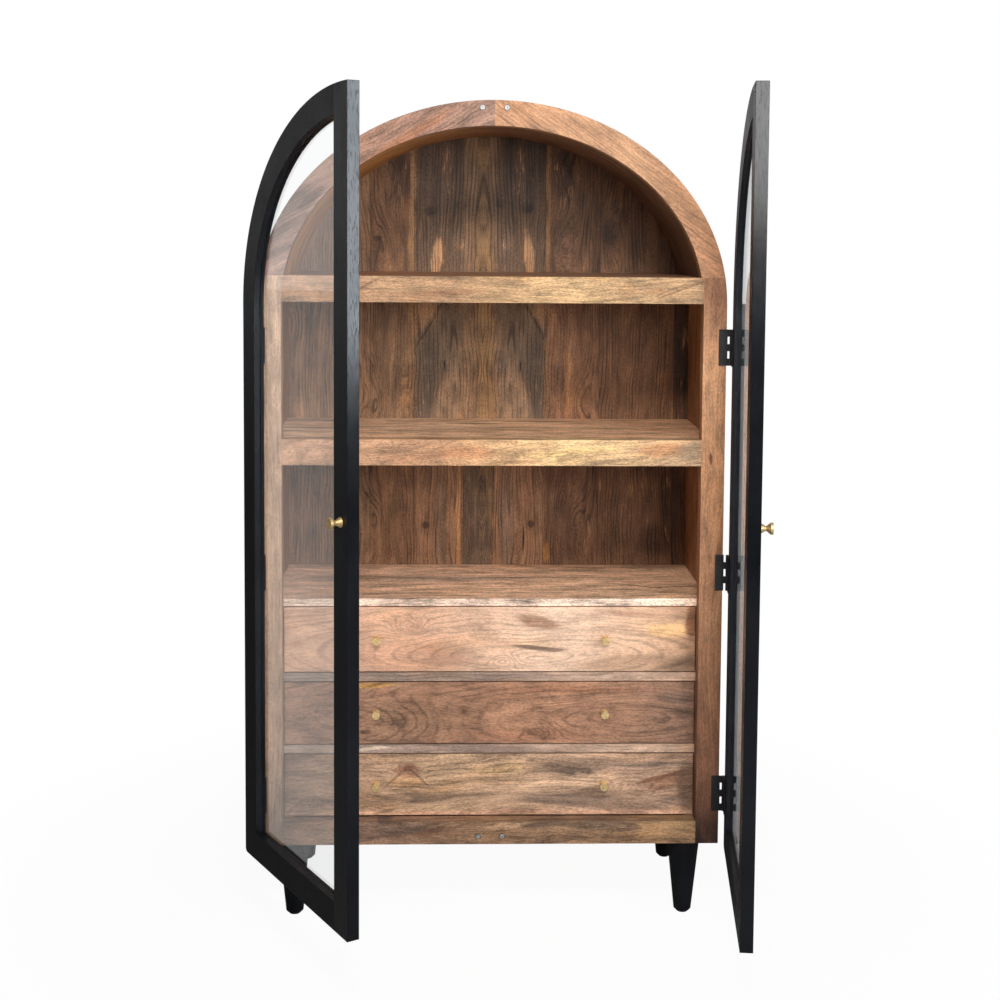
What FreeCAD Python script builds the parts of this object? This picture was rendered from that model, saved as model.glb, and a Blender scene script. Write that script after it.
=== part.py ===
import FreeCAD, Part
import math
import os

import Sketcher
from FreeCAD import Placement, Rotation, Vector

# An arched display cabinet: an open wooden carcass with two shelves and three drawers, on turned legs,
# closed by two arched glass doors. X runs to the right, Y to the back and Z up. The origin lies on the
# floor, midway between the sides and midway between the carcass's front and back.

os.makedirs("parts", exist_ok=True)
document = FreeCAD.newDocument("ArchedCabinet")
sheet = document.addObject("Spreadsheet::Sheet", "Dimensions")

# Driving dimensions, in millimetres and degrees
DIMENSIONS = {
    "body_width": 1000.0,
    "body_depth": 390.0,
    "leg_height": 170.0,
    "side_height": 1181.0,
    "arch_rise": 432.0,
    "crown_thickness": 54.0,
    "seam_rise": 59.0,
    "post_width": 50.0,
    "post_depth": 35.0,
    "side_thickness": 25.0,
    "back_thickness": 12.0,
    "shelf_front_height": 56.0,
    "shelf_thickness": 18.0,
    "lower_bay_height": 298.0,
    "deck_thickness": 16.0,
    "rail_thickness": 19.0,
    "drawer_rail_depth": 60.0,
    "bottom_rail_height": 50.0,
    "upper_drawer_bay": 148.0,
    "lower_drawer_bay": 142.0,
    "runner_width": 45.0,
    "drawer_front_thickness": 18.0,
    "drawer_front_gap": 2.5,
    "drawer_side_gap": 1.5,
    "drawer_box_inset": 8.0,
    "drawer_side_thickness": 12.0,
    "drawer_headroom": 34.0,
    "drawer_back_clearance": 20.0,
    "drawer_bottom_thickness": 6.0,
    "groove_depth": 6.0,
    "groove_height": 10.0,
    "slide_clearance": 0.3,
    "leg_top_radius": 36.0,
    "leg_foot_radius": 19.0,
    "leg_foot_round": 7.0,
    "leg_side_inset": 70.0,
    "leg_front_inset": 44.0,
    "leg_back_inset": 45.0,
    "door_thickness": 25.0,
    "door_frame_width": 57.0,
    "door_top_drop": 5.0,
    "door_bottom_drop": 2.0,
    "door_corner_radius": 9.0,
    "meeting_gap": 3.0,
    "rebate_width": 9.0,
    "lip_thickness": 13.5,
    "glass_thickness": 4.0,
    "glass_clearance": 0.5,
    "bead_clearance": 0.2,
    "left_door_angle": 60.0,
    "right_door_angle": 83.5,
    "hinge_overhang": 9.5,
    "hinge_height": 78.0,
    "hinge_leaf_width": 18.5,
    "leaf_thickness": 2.0,
    "leaf_gap": 0.5,
    "barrel_radius": 3.5,
    "pin_radius": 1.8,
    "pin_clearance": 0.05,
    "knuckle_gap": 0.3,
    "lowest_hinge_height": 283.0,
    "hinge_spacing": 489.0,
    "catch_radius": 6.0,
    "catch_height": 2.2,
    "strike_width": 14.0,
    "strike_height": 1.5,
    "catch_half_spacing": 26.0,
    "upper_catch_drop": 16.0,
    "lower_catch_rise": 18.0,
    "drawer_knob_spacing": 500.0,
    "drawer_knob_radius": 8.5,
    "drawer_knob_length": 22.0,
    "door_knob_radius": 11.0,
    "door_knob_length": 24.0,
    "door_knob_height": 963.0,
    "cut_overrun": 5.0,
}


class Size:
    """A length or angle together with the sheet formula that gives it, so that sums of sizes stay live."""

    def __init__(self, value, formula):
        self.value = float(value)
        self.formula = formula

    @staticmethod
    def of(amount):
        return amount if isinstance(amount, Size) else Size(amount, repr(float(amount)))

    def combine(self, other, sign, value):
        return Size(value, f"({self.formula} {sign} {other.formula})")

    def __add__(self, other):
        other = Size.of(other)
        return self.combine(other, "+", self.value + other.value)

    def __sub__(self, other):
        other = Size.of(other)
        return self.combine(other, "-", self.value - other.value)

    def __mul__(self, other):
        other = Size.of(other)
        return self.combine(other, "*", self.value * other.value)

    def __truediv__(self, other):
        other = Size.of(other)
        return self.combine(other, "/", self.value / other.value)

    def __neg__(self):
        return Size(-self.value, f"(0 - {self.formula})")


ZERO = Size(0, "0")
for row, (name, amount) in enumerate(DIMENSIONS.items(), start=1):
    sheet.set(f"A{row}", name.replace("_", " "))
    sheet.set(f"B{row}", str(amount))
    sheet.setAlias(f"B{row}", name)
document.recompute()
size = {name: Size(amount, f"Dimensions.{name}") for name, amount in DIMENSIONS.items()}

# Places that follow from the driving dimensions
half_width = size["body_width"] / 2
front = -size["body_depth"] / 2
back = size["body_depth"] / 2
frame_back = front + size["post_depth"]
inner_back = back - size["back_thickness"]
floor_of_body = size["leg_height"]
spring = floor_of_body + size["side_height"]
crown = spring + size["arch_rise"]
seam = spring + size["seam_rise"]
post_inside = half_width - size["post_width"]
side_inside = half_width - size["side_thickness"]
inner_rise = size["arch_rise"] - size["crown_thickness"]
overrun = size["cut_overrun"]

bottom_rail_top = floor_of_body + size["bottom_rail_height"]
lower_rail_bottom = bottom_rail_top + size["lower_drawer_bay"]
lower_rail_top = lower_rail_bottom + size["rail_thickness"]
upper_rail_bottom = lower_rail_top + size["lower_drawer_bay"]
upper_rail_top = upper_rail_bottom + size["rail_thickness"]
deck_bottom = upper_rail_top + size["upper_drawer_bay"]
deck_top = deck_bottom + size["deck_thickness"]
middle_shelf_bottom = deck_top + size["lower_bay_height"]
middle_shelf_top = middle_shelf_bottom + size["shelf_front_height"]
top_shelf_bottom = seam - size["shelf_front_height"]

LEFT, RIGHT = -1, 1
SIDES = {"left": LEFT, "right": RIGHT}
sub_parts = []


def keep(piece, label):
    """Names a finished piece and lists it among the sub-parts."""
    piece.Label = label
    sub_parts.append(piece)
    return piece


def bind(piece, **formulas):
    """Ties properties of a piece to the sheet: each keyword is a property path with dots as double bars."""
    for path, amount in formulas.items():
        piece.setExpression(path.replace("__", "."), Size.of(amount).formula)


def place(piece, x=ZERO, y=ZERO, z=ZERO):
    bind(piece, Placement__Base__x=x, Placement__Base__y=y, Placement__Base__z=z)
    return piece


def mirrored(side, low, high):
    """A span of X given for the right side, as it lies on the side asked for."""
    return (low, high) if side == RIGHT else (-high, -low)


def block(name, x, y, z):
    """A board between two values on each axis."""
    piece = document.addObject("Part::Box", name)
    bind(piece, Length=x[1] - x[0], Width=y[1] - y[0], Height=z[1] - z[0])
    return place(piece, x[0], y[0], z[0])


def along_y(piece):
    """Turns a piece drawn flat on XY so that it stands on XZ."""
    piece.Placement = Placement(Vector(), Rotation(Vector(1, 0, 0), 90))
    return piece


def oval_prism(name, middle, half_span, rise, y):
    """An upright oval slab: centre and half span along X, rise above the spring line, from one Y to another."""
    oval = document.addObject("Part::Ellipse", name + "_oval")
    across, up = half_span.formula, rise.formula
    oval.setExpression("MajorRadius", f"max({across}; {up})")
    oval.setExpression("MinorRadius", f"min({across}; {up})")
    # The longer radius lies along X in a low arch and along Z in one that is taller than its half span
    upright = f"{up} > {across} ? 1 : 0"
    axis = f"create(<<vector>>; 1; {upright}; {upright})"
    turn = f"create(<<rotation>>; {axis}; {up} > {across} ? -120 : 90)"
    point = f"create(<<vector>>; {middle.formula}; {y[0].formula}; {spring.formula})"
    oval.setExpression("Placement", f"create(<<placement>>; {point}; {turn})")
    piece = document.addObject("Part::Extrusion", name)
    piece.Base = oval
    piece.Dir = Vector(0, 1, 0)
    piece.DirMode = "Custom"
    piece.Solid = True
    bind(piece, LengthFwd=y[1] - y[0])
    return piece


def boolean(kind, name, first, second):
    piece = document.addObject(kind, name)
    piece.Base = first
    piece.Tool = second
    piece.Refine = True
    return piece


def common(name, first, second):
    return boolean("Part::Common", name, first, second)


def cut(name, first, second):
    return boolean("Part::Cut", name, first, second)


def fuse(name, pieces):
    piece = document.addObject("Part::MultiFuse", name)
    piece.Shapes = pieces
    piece.Refine = True
    return piece


def round_cornered(name, x, y, z, corner_x, radius):
    """A board whose lower corner at one end is rounded: two boards with a dowel between them."""
    inward = (corner_x + radius, x[1]) if corner_x is x[0] else (x[0], corner_x - radius)
    centre = inward[0] if corner_x is x[0] else inward[1]
    dowel = along_y(document.addObject("Part::Cylinder", name + "_corner"))
    bind(dowel, Radius=radius, Height=y[1] - y[0])
    place(dowel, centre, y[1], z[0] + radius)
    upper = block(name + "_upper", x, y, (z[0] + radius, z[1]))
    lower = block(name + "_lower", inward, y, z)
    return fuse(name + "_rounded", [upper, lower, dowel])


def arched_slab(name, x, middle, half_span, rise, bottom, y, corner_x=None):
    """A slab with straight sides below the spring line and an oval arch above it."""
    if corner_x is None:
        straight = block(name + "_straight", x, y, (bottom, spring))
    else:
        straight = round_cornered(name, x, y, (bottom, spring), corner_x, size["door_corner_radius"])
    arch = oval_prism(name + "_arch", middle, half_span, rise, y)
    window = block(name + "_window", x, (y[0] - overrun, y[1] + overrun), (spring, spring + rise + overrun))
    return fuse(name, [straight, common(name + "_head", arch, window)])


# Sketches: every corner of a closed outline is dimensioned from the body's origin
def new_body(name):
    return document.addObject("PartDesign::Body", name)


def plane_of(body, role):
    return next(feature for feature in body.Origin.OriginFeatures if feature.Role == role)


def outline(body, name, role, corners):
    """A closed outline of straight lines whose corners are pairs of sizes on the plane asked for."""
    sketch = body.newObject("Sketcher::SketchObject", name)
    sketch.AttachmentSupport = [(plane_of(body, role), "")]
    sketch.MapMode = "FlatFace"
    count = len(corners)
    ends = [Vector(across.value, up.value, 0) for across, up in corners]
    for index in range(count):
        sketch.addGeometry(Part.LineSegment(ends[index], ends[(index + 1) % count]), False)
    for index in range(count):
        sketch.addConstraint(Sketcher.Constraint("Coincident", index, 2, (index + 1) % count, 1))
    for index, (across, up) in enumerate(corners):
        for kind, amount, axis in (("DistanceX", across, "across"), ("DistanceY", up, "up")):
            number = sketch.addConstraint(Sketcher.Constraint(kind, -1, 1, index, 1, amount.value))
            sketch.renameConstraint(number, f"{axis}_{index}")
            sketch.setExpression(f"Constraints.{axis}_{index}", amount.formula)
    return sketch


def turning(body, role, corners):
    """A turned piece: a half outline of radius and height, spun about the plane's upright axis."""
    sketch = outline(body, body.Name + "_profile", role, corners)
    feature = body.newObject("PartDesign::Revolution", body.Name + "_turned")
    feature.Profile = sketch
    feature.ReferenceAxis = (sketch, ["V_Axis"])
    feature.Angle = 360
    return body


# Carcass
def carcass():
    outside = {
        part: arched_slab(
            f"{part}_outside", (-half_width, half_width), ZERO, half_width, size["arch_rise"], floor_of_body, reach
        )
        for part, reach in {
            "left_post": (front, frame_back),
            "right_post": (front, frame_back),
            "left_side": (frame_back, inner_back),
            "right_side": (frame_back, inner_back),
        }.items()
    }
    for word, side in SIDES.items():
        post = block(
            f"{word}_post_blank",
            mirrored(side, post_inside, half_width),
            (front, frame_back),
            (floor_of_body, seam),
        )
        keep(common(f"{word}_post_shape", post, outside[f"{word}_post"]), f"post_{word}")
        panel = block(
            f"{word}_side_blank",
            mirrored(side, side_inside, half_width),
            (frame_back, inner_back),
            (floor_of_body, seam),
        )
        keep(common(f"{word}_side_shape", panel, outside[f"{word}_side"]), f"side_panel_{word}")
        keep(arch_ring(f"{word}_rib", mirrored(side, ZERO, half_width), (front, frame_back)), f"arch_rib_{word}")
    keep(arch_ring("shell", (-half_width, half_width), (frame_back, inner_back)), "arch_shell")
    keep(
        arched_slab(
            "back", (-half_width, half_width), ZERO, half_width, size["arch_rise"], floor_of_body, (inner_back, back)
        ),
        "back_panel",
    )


def arch_ring(name, x, y):
    """The stretch of the arch above the joint with the posts, between two values of X."""
    through = (y[0] - overrun, y[1] + overrun)
    solid = oval_prism(name + "_outer", ZERO, half_width, size["arch_rise"], y)
    hollow = oval_prism(name + "_inner", ZERO, post_inside, inner_rise, through)
    window = block(name + "_window", x, through, (seam, crown + overrun))
    return common(name + "_ring", cut(name + "_hoop", solid, hollow), window)


def shelves():
    for word, top in (("top", seam), ("middle", middle_shelf_top)):
        bottom = top - size["shelf_front_height"]
        keep(
            block(f"{word}_front", (-post_inside, post_inside), (front, frame_back), (bottom, top)),
            f"shelf_{word}_front",
        )
        keep(
            block(
                f"{word}_panel",
                (-side_inside, side_inside),
                (frame_back, inner_back),
                (top - size["shelf_thickness"], top),
            ),
            f"shelf_{word}_panel",
        )


def drawer_bank():
    across = (-side_inside, side_inside)
    depth = (frame_back, inner_back)
    rail_reach = (frame_back, frame_back + size["drawer_rail_depth"])
    keep(block("deck", across, depth, (deck_bottom, deck_top)), "drawer_deck")
    keep(block("upper_rail", across, rail_reach, (upper_rail_bottom, upper_rail_top)), "drawer_rail_upper")
    keep(block("lower_rail", across, rail_reach, (lower_rail_bottom, lower_rail_top)), "drawer_rail_lower")
    keep(
        block("bottom_rail", (-post_inside, post_inside), (front, frame_back), (floor_of_body, bottom_rail_top)),
        "bottom_rail",
    )
    keep(
        block("bottom_panel", across, depth, (floor_of_body, floor_of_body + size["shelf_thickness"])),
        "bottom_panel",
    )
    for number, (top, start) in enumerate(
        ((upper_rail_top, rail_reach[1]), (lower_rail_top, rail_reach[1]), (bottom_rail_top, frame_back)), start=1
    ):
        for word, side in SIDES.items():
            strip = mirrored(side, side_inside - size["runner_width"], side_inside)
            keep(
                block(f"runner_{number}_{word}", strip, (start, inner_back), (top - size["rail_thickness"], top)),
                f"drawer_{number}_runner_{word}",
            )


def legs():
    rows = {"front": front + size["leg_front_inset"], "rear": back - size["leg_back_inset"]}
    foot = size["leg_foot_radius"] - size["leg_foot_round"]
    profile = [
        (ZERO, ZERO),
        (foot, ZERO),
        (size["leg_foot_radius"], size["leg_foot_round"]),
        (size["leg_top_radius"], size["leg_height"]),
        (ZERO, size["leg_height"]),
    ]
    for row, y in rows.items():
        pair = [
            place(
                turning(new_body(f"leg_{row}_{word}"), "XZ_Plane", profile),
                (half_width - size["leg_side_inset"]) * side,
                y,
            )
            for word, side in SIDES.items()
        ]
        keep(fuse(f"leg_{row}_pair", pair), f"legs_{row}")


# Hinges: the pin's axis stands outside the carcass's side, level with the gap between door and carcass
axis_offset = half_width + size["hinge_overhang"]
door_gap = size["leaf_thickness"] * 2 + size["leaf_gap"]
axis_y = front - door_gap / 2
KNUCKLES = 5
BARREL_SIDES = 12
hinge_bottoms = [
    size["lowest_hinge_height"] + size["hinge_spacing"] * step - size["hinge_height"] / 2 for step in range(3)
]


def barrel(name, radius, z):
    """An upright many-sided bar on the hinge axis, as wide as the radius at its corners, between two heights."""
    piece = document.addObject("Part::Prism", name)
    piece.Polygon = BARREL_SIDES
    bind(piece, Circumradius=radius, Height=z[1] - z[0])
    return place(piece, z=z[0])


def hinge_leaf(name, toward, face, bottom, knuckles, pinned):
    """One leaf with its knuckles: it runs from the barrel toward the screws, and lies on the face given."""
    pitch = size["hinge_height"] / KNUCKLES
    reach = size["hinge_overhang"] + size["hinge_leaf_width"] - size["barrel_radius"] / 2
    flat_start = size["hinge_overhang"] - size["barrel_radius"] / 2
    top = bottom + size["hinge_height"]
    leaf_y = (face, face + size["leaf_thickness"]) if face.value < 0 else (face - size["leaf_thickness"], face)
    pieces = [block(f"{name}_flat", mirrored(toward, flat_start, reach), leaf_y, (bottom, top))]
    for index in knuckles:
        low = bottom + pitch * index + size["knuckle_gap"] / 2
        high = bottom + pitch * (index + 1) - size["knuckle_gap"] / 2
        pieces.append(block(f"{name}_tab_{index}", mirrored(toward, ZERO, flat_start), leaf_y, (low, high)))
        pieces.append(barrel(f"{name}_knuckle_{index}", size["barrel_radius"], (low, high)))
    if pinned:
        pin_ends = (bottom + size["knuckle_gap"] / 2, top - size["knuckle_gap"] / 2)
        pieces.append(barrel(f"{name}_pin", size["pin_radius"], pin_ends))
        return fuse(f"{name}_solid", pieces)
    leaf = fuse(f"{name}_solid", pieces)
    through = (bottom - overrun, top + overrun)
    # The bore's flats clear the pin's corners, so that the pin turns in it
    corner_share = 1 / math.cos(math.pi / BARREL_SIDES)
    bore = barrel(f"{name}_bore", (size["pin_radius"] + size["pin_clearance"]) * corner_share, through)
    return cut(f"{name}_bored", leaf, bore)


def cabinet_hinges():
    for word, side in SIDES.items():
        leaves = []
        for step, bottom in enumerate(hinge_bottoms):
            knuckles = (1, 3) if step == 1 else (0, 2, 4)
            leaves.append(
                hinge_leaf(f"{word}_frame_leaf_{step}", -side, door_gap / 2, bottom, knuckles, pinned=True)
            )
        keep(place(fuse(f"{word}_frame_leaves", leaves), axis_offset * side, axis_y, ZERO), f"hinges_{word}_frame")


catch_heights = {
    "upper": crown - size["upper_catch_drop"],
    "lower": floor_of_body + size["lower_catch_rise"],
}


def catches():
    cups = []
    for level, z in catch_heights.items():
        for word, side in SIDES.items():
            cup = along_y(document.addObject("Part::Cylinder", f"catch_{level}_{word}"))
            bind(cup, Radius=size["catch_radius"], Height=size["catch_height"])
            cups.append(place(cup, size["catch_half_spacing"] * side, front, z))
    keep(fuse("catch_cups", cups), "catch_magnets")


# Doors: each is drawn closed, with X from the hinge pin toward the other door and Y from the pin to the back
def door(word, side):
    toward = -side
    inner_face = -door_gap / 2
    outer_face = inner_face - size["door_thickness"]
    lip_back = outer_face + size["lip_thickness"]
    glass_back = lip_back + size["glass_thickness"]
    closing = axis_offset - size["meeting_gap"] / 2
    bottom = floor_of_body - size["door_bottom_drop"]
    rise = size["arch_rise"] - size["door_top_drop"]

    def slab(name, inset, y, rounded=False):
        x = mirrored(toward, size["hinge_overhang"] + inset, closing - inset)
        hinge_edge = x[0] if toward == RIGHT else x[1]
        return arched_slab(
            f"{word}_door_{name}",
            x,
            axis_offset * toward,
            half_width - inset,
            rise - inset,
            bottom + inset,
            y,
            hinge_edge if rounded else None,
        )

    full = (outer_face, inner_face)
    through = (outer_face - overrun, inner_face + overrun)
    frame_width = size["door_frame_width"]
    opening_start = size["hinge_overhang"] + frame_width
    opening_end = closing - frame_width
    rebate_inset = frame_width - size["rebate_width"]
    top = spring + rise + overrun

    def frame_piece(name, x, z):
        """The stretch of the rebated door frame inside a window of X and Z."""
        outer = slab(f"{name}_outer", ZERO, full, rounded=True)
        opening = slab(f"{name}_opening", frame_width, through)
        rebate = slab(f"{name}_rebate", rebate_inset, (lip_back, inner_face + overrun))
        frame = cut(f"{word}_{name}_frame", cut(f"{word}_{name}_lip", outer, opening), rebate)
        window = block(f"{word}_{name}_window", mirrored(toward, *x), through, z)
        return common(f"{word}_{name}_piece", frame, window)

    pieces = {
        "hinge_stile": frame_piece("hinge_stile", (ZERO, opening_start), (bottom - overrun, spring)),
        "arch_rail": frame_piece("arch_rail", (ZERO, opening_end), (spring, top)),
        "meeting_stile": frame_piece("meeting_stile", (opening_end, axis_offset), (bottom - overrun, top)),
        "bottom_rail": frame_piece(
            "bottom_rail", (opening_start, opening_end), (bottom - overrun, bottom + frame_width)
        ),
    }
    pieces["glass"] = slab("glass", rebate_inset + size["glass_clearance"], (lip_back, glass_back))
    bead_blank = slab("bead_blank", rebate_inset + size["bead_clearance"], (glass_back, inner_face))
    bead_hole = slab("bead_hole", frame_width, (glass_back - overrun, inner_face + overrun))
    pieces["glazing_bead"] = cut(f"{word}_door_bead", bead_blank, bead_hole)
    leaves = [
        hinge_leaf(
            f"{word}_door_leaf_{step}", toward, -door_gap / 2, low, (0, 2, 4) if step == 1 else (1, 3), pinned=False
        )
        for step, low in enumerate(hinge_bottoms)
    ]
    pieces["hinge_leaves"] = fuse(f"{word}_door_leaves", leaves)
    catch_x = axis_offset - size["catch_half_spacing"]
    half = size["strike_width"] / 2
    pieces["strikes"] = fuse(
        f"{word}_door_strikes",
        [
            block(
                f"{word}_strike_{level}",
                mirrored(toward, catch_x - half, catch_x + half),
                (inner_face, inner_face + size["strike_height"]),
                (z - half, z + half),
            )
            for level, z in catch_heights.items()
        ],
    )

    angle = size[f"{word}_door_angle"] * side
    for name, piece in pieces.items():
        swing(piece, angle, axis_offset * side)
        keep(piece, f"{word}_door_{name}")
    knob_body = knob(f"{word}_door_knob", size["door_knob_radius"], size["door_knob_length"])
    reach = axis_offset - size["meeting_gap"] / 2 - frame_width / 2
    seat_knob(knob_body, side, angle, reach, -outer_face)
    keep(knob_body, f"{word}_door_knob")


def swing(piece, angle, x):
    """Turns a door piece about its hinge pin and stands it at the pin."""
    piece.Placement = Placement(Vector(), Rotation(Vector(0, 0, 1), 1))
    bind(piece, Placement__Rotation__Angle=angle)
    place(piece, x, axis_y, ZERO)


def knob(name, radius, length):
    """A turned spool knob that stands out toward the front: it flares from its waist to the base and the head."""
    base_radius_share, waist_radius_share = 0.95, 0.38
    waist_height_share, head_height_share = 0.46, 0.2
    return turning(
        new_body(name),
        "XY_Plane",
        [
            (ZERO, ZERO),
            (radius * base_radius_share, ZERO),
            (radius * waist_radius_share, -length * waist_height_share),
            (radius, -length + length * head_height_share),
            (radius, -length),
            (ZERO, -length),
        ],
    )


def seat_knob(body, side, angle, reach, out):
    """Stands a knob on the outer face of an open door: reach from the pin, and out from it to that face."""
    swing(body, angle, axis_offset * side)
    along = reach * -side
    cosine = f"cos({angle.formula})"
    sine = f"sin({angle.formula})"
    across = f"{(axis_offset * side).formula} + {along.formula} * {cosine} + {out.formula} * {sine}"
    inward = f"{axis_y.formula} + {along.formula} * {sine} - {out.formula} * {cosine}"
    body.setExpression("Placement.Base.x", across)
    body.setExpression("Placement.Base.y", inward)
    body.setExpression("Placement.Base.z", size["door_knob_height"].formula)


# Drawers
def drawer(number, bottom, top):
    gap = size["drawer_front_gap"]
    half_front = post_inside - size["drawer_side_gap"]
    half_box = half_front - size["drawer_box_inset"]
    front_y = (frame_back, frame_back + size["drawer_front_thickness"])
    box_back = inner_back - size["drawer_back_clearance"]
    box_bottom = bottom + size["slide_clearance"]
    box_top = top - size["drawer_headroom"]
    thickness = size["drawer_side_thickness"]
    groove_low = box_bottom + size["groove_height"]
    groove = (groove_low, groove_low + size["drawer_bottom_thickness"])
    in_side = half_box - thickness + size["groove_depth"]

    def groove_block(name, spare):
        """The drawer bottom's panel, or the space that it takes with the clearance named."""
        return block(
            f"drawer_{number}_{name}",
            (-in_side - spare, in_side + spare),
            (front_y[1] - size["groove_depth"] - spare, box_back - thickness + size["groove_depth"] + spare),
            (groove[0] - spare, groove[1] + spare),
        )

    front_blank = block(f"drawer_{number}_front_blank", (-half_front, half_front), front_y, (bottom + gap, top - gap))
    spare = size["slide_clearance"]
    keep(cut(f"drawer_{number}_front", front_blank, groove_block("front_groove", spare)), f"drawer_{number}_front")
    walls = [
        block(
            f"drawer_{number}_side_{word}",
            mirrored(side, half_box - thickness, half_box),
            (front_y[1], box_back),
            (box_bottom, box_top),
        )
        for word, side in SIDES.items()
    ]
    walls.append(
        block(
            f"drawer_{number}_rear",
            (-half_box, half_box),
            (box_back - thickness, box_back),
            (box_bottom, box_top),
        )
    )
    box = fuse(f"drawer_{number}_walls", walls)
    keep(cut(f"drawer_{number}_box", box, groove_block("box_groove", spare)), f"drawer_{number}_box")
    keep(groove_block("bottom_board", ZERO), f"drawer_{number}_bottom")
    knobs = []
    for word, side in SIDES.items():
        body = knob(f"drawer_{number}_knob_{word}", size["drawer_knob_radius"], size["drawer_knob_length"])
        knobs.append(place(body, size["drawer_knob_spacing"] / 2 * side, frame_back, (bottom + top) / 2))
    keep(fuse(f"drawer_{number}_knob_pair", knobs), f"drawer_{number}_knobs")


carcass()
shelves()
drawer_bank()
legs()
cabinet_hinges()
catches()
for door_word, door_side in SIDES.items():
    door(door_word, door_side)
drawer(1, upper_rail_top, deck_bottom)
drawer(2, lower_rail_top, upper_rail_bottom)
drawer(3, bottom_rail_top, lower_rail_bottom)
document.recompute()

# Checks before anything is written
failed = [item.Name for item in document.Objects if "Invalid" in item.State or "Error" in item.State]
failed += [piece.Label for piece in sub_parts if piece.Shape.isNull() or not piece.Shape.isValid()]
if failed:
    raise RuntimeError(f"these pieces did not build: {failed}")
for piece in sub_parts:
    piece.Shape.exportStep(f"parts/{piece.Label}.step")
print(len(sub_parts), "sub-parts written")
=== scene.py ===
import math

import bmesh
import bpy
from mathutils import Matrix, Vector


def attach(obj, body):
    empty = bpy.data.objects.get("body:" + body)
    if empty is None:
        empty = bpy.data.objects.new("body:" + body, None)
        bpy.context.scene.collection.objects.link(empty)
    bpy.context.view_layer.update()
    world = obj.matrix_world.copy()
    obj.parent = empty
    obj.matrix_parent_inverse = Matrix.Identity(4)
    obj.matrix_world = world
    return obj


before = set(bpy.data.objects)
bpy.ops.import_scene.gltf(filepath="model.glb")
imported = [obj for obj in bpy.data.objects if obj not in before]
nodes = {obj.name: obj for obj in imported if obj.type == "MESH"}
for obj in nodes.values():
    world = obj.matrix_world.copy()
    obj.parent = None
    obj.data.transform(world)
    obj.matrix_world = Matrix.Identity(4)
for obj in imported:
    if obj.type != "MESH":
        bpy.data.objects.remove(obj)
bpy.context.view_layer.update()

# Places on the cabinet, in metres and radians: X to the right, Y to the back, Z up from the floor
FRONT = -0.195
REAR_FACE = 0.19
HALF_WIDTH = 0.5
SPRING = 1.351
ARCH_RISE = 0.432
ARCH_RADIUS = 0.45
MIDDLE_SHELF = 1.03
TOP_SHELF = 1.38
PIN_X = 0.5095
PIN_Y = -0.19725
DOOR_ANGLES = {"left": math.radians(-60.0), "right": math.radians(83.5)}
SIDES = {"left": -1, "right": 1}

# Linear colours, and factors on colours
PAINT = (0.0085, 0.009, 0.0105)
SMOKE = (0.50, 0.49, 0.50)
GOLD = (1.16, 1.0, 0.76)
BACK_TINT = (1.48, 1.35, 1.16)


def linear(red, green, blue):
    """A colour as a screen shows it, 0 to 255, made linear."""
    parts = [c / 255.0 for c in (red, green, blue)]
    return tuple(c / 12.92 if c <= 0.04045 else ((c + 0.055) / 1.055) ** 2.4 for c in parts)


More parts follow.
